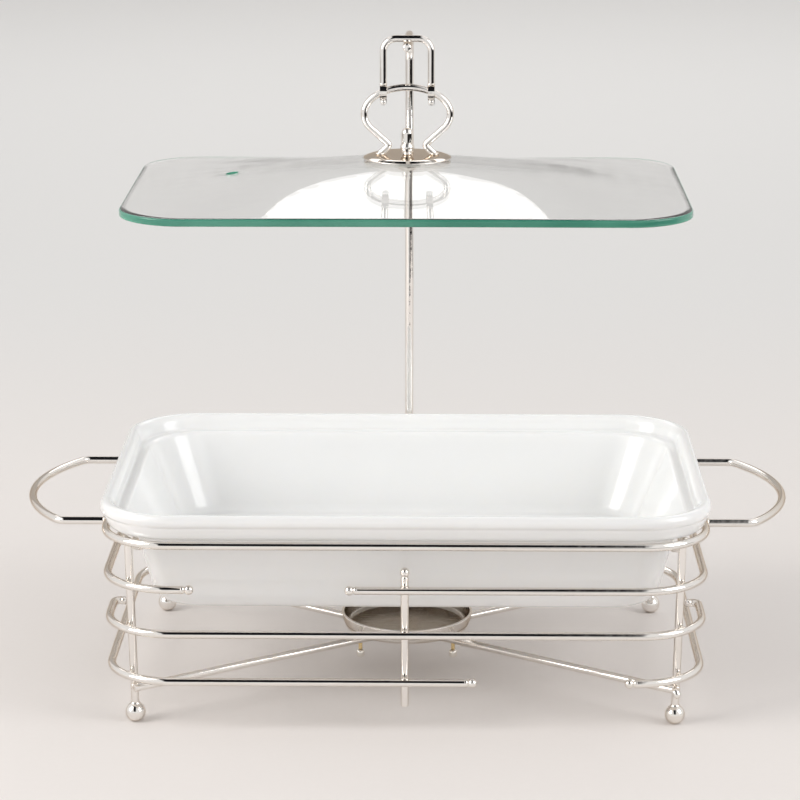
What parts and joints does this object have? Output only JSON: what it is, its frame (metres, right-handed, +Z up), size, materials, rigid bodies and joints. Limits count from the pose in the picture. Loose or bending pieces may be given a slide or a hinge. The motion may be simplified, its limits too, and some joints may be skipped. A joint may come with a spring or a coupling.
{
  "type": "buffet server",
  "caption": "Bent-wire buffet stand on ball feet with a rectangular porcelain dish, a burner pan below, and a domed glass lid hanging from a hooked pole behind.",
  "frame": {"origin": "on the table, under the middle of the whole object's box", "axes": "+Z up, +X to the right along the dish's long side, -Y towards the front, away from the pole"},
  "size_m": [0.496, 0.264, 0.42],
  "materials": {
    "silver": "polished silver plate",
    "brass": "polished",
    "porcelain": "glossy white glaze",
    "glass": "clear with a green edge",
    "gasket": "translucent"
  },
  "bodies": {
    "stand": {"ball_foot_front_left": "silver", "ball_foot_front_right": "silver", "ball_foot_rear_left": "silver", "ball_foot_rear_right": "silver", "bead_centre_bar_front": "silver", "bead_centre_bar_rear": "silver", "bead_lower_left_front": "silver", "bead_lower_left_rear": "silver", "bead_lower_right_front": "silver", "bead_lower_right_rear": "silver", "bead_upper_left_front": "silver", "bead_upper_left_rear": "silver", "bead_upper_right_front": "silver", "bead_upper_right_rear": "silver", "burner_arm_front_right": "silver", "burner_arm_rear_left": "silver", "burner_arm_through": "silver", "burner_pan": "silver", "centre_bar_front": "silver", "centre_bar_rear": "silver", "leg_front_left": "silver", "leg_front_right": "silver", "leg_rear_left": "silver", "leg_rear_right": "silver", "lower_wire_left": "silver", "lower_wire_right": "silver", "middle_wire_front": "silver", "middle_wire_rear": "silver", "pan_stud_front_left": "brass", "pan_stud_front_right": "brass", "pan_stud_rear_left": "brass", "pan_stud_rear_right": "brass", "pole_socket": "silver", "side_handle_left": "silver", "side_handle_right": "silver", "stud_knob_front_left": "brass", "stud_knob_front_right": "brass", "stud_knob_rear_left": "brass", "stud_knob_rear_right": "brass", "top_wire": "silver", "upper_wire_left": "silver", "upper_wire_right": "silver"},
    "dish": {"dish": "porcelain"},
    "lid": {"finial_nut": "silver", "glass_lid": "glass", "handle_disc": "silver", "handle_loop": "silver", "handle_screw": "silver", "lid_gasket": "gasket"},
    "hanger": {"hanger_lug_left": "silver", "hanger_lug_right": "silver", "hanger_wire": "silver", "lug_rivet_left": "silver", "lug_rivet_right": "silver"},
    "pole": {"pole": "silver"}
  },
  "joints": [
    {"name": "dish_lift", "type": "slide", "parent": "stand", "child": "dish", "axis": [0, 0, 1], "range_m": [0, 0.12]},
    {"name": "pole_swivel", "type": "hinge", "parent": "stand", "child": "pole", "pos_m": [0, 0.1274, 0.0283], "axis": [0, 0, 1], "range_deg": [-90, 90]},
    {"name": "hanger_swing", "type": "hinge", "parent": "pole", "child": "hanger", "pos_m": [0, -0.0045, 0.4178], "axis": [1, 0, 0], "range_deg": [-5, 5]},
    {"name": "lid_swing", "type": "hinge", "parent": "hanger", "child": "lid", "pos_m": [0, -0.0045, 0.38406], "axis": [1, 0, 0], "range_deg": [-7, 7]}
  ]
}
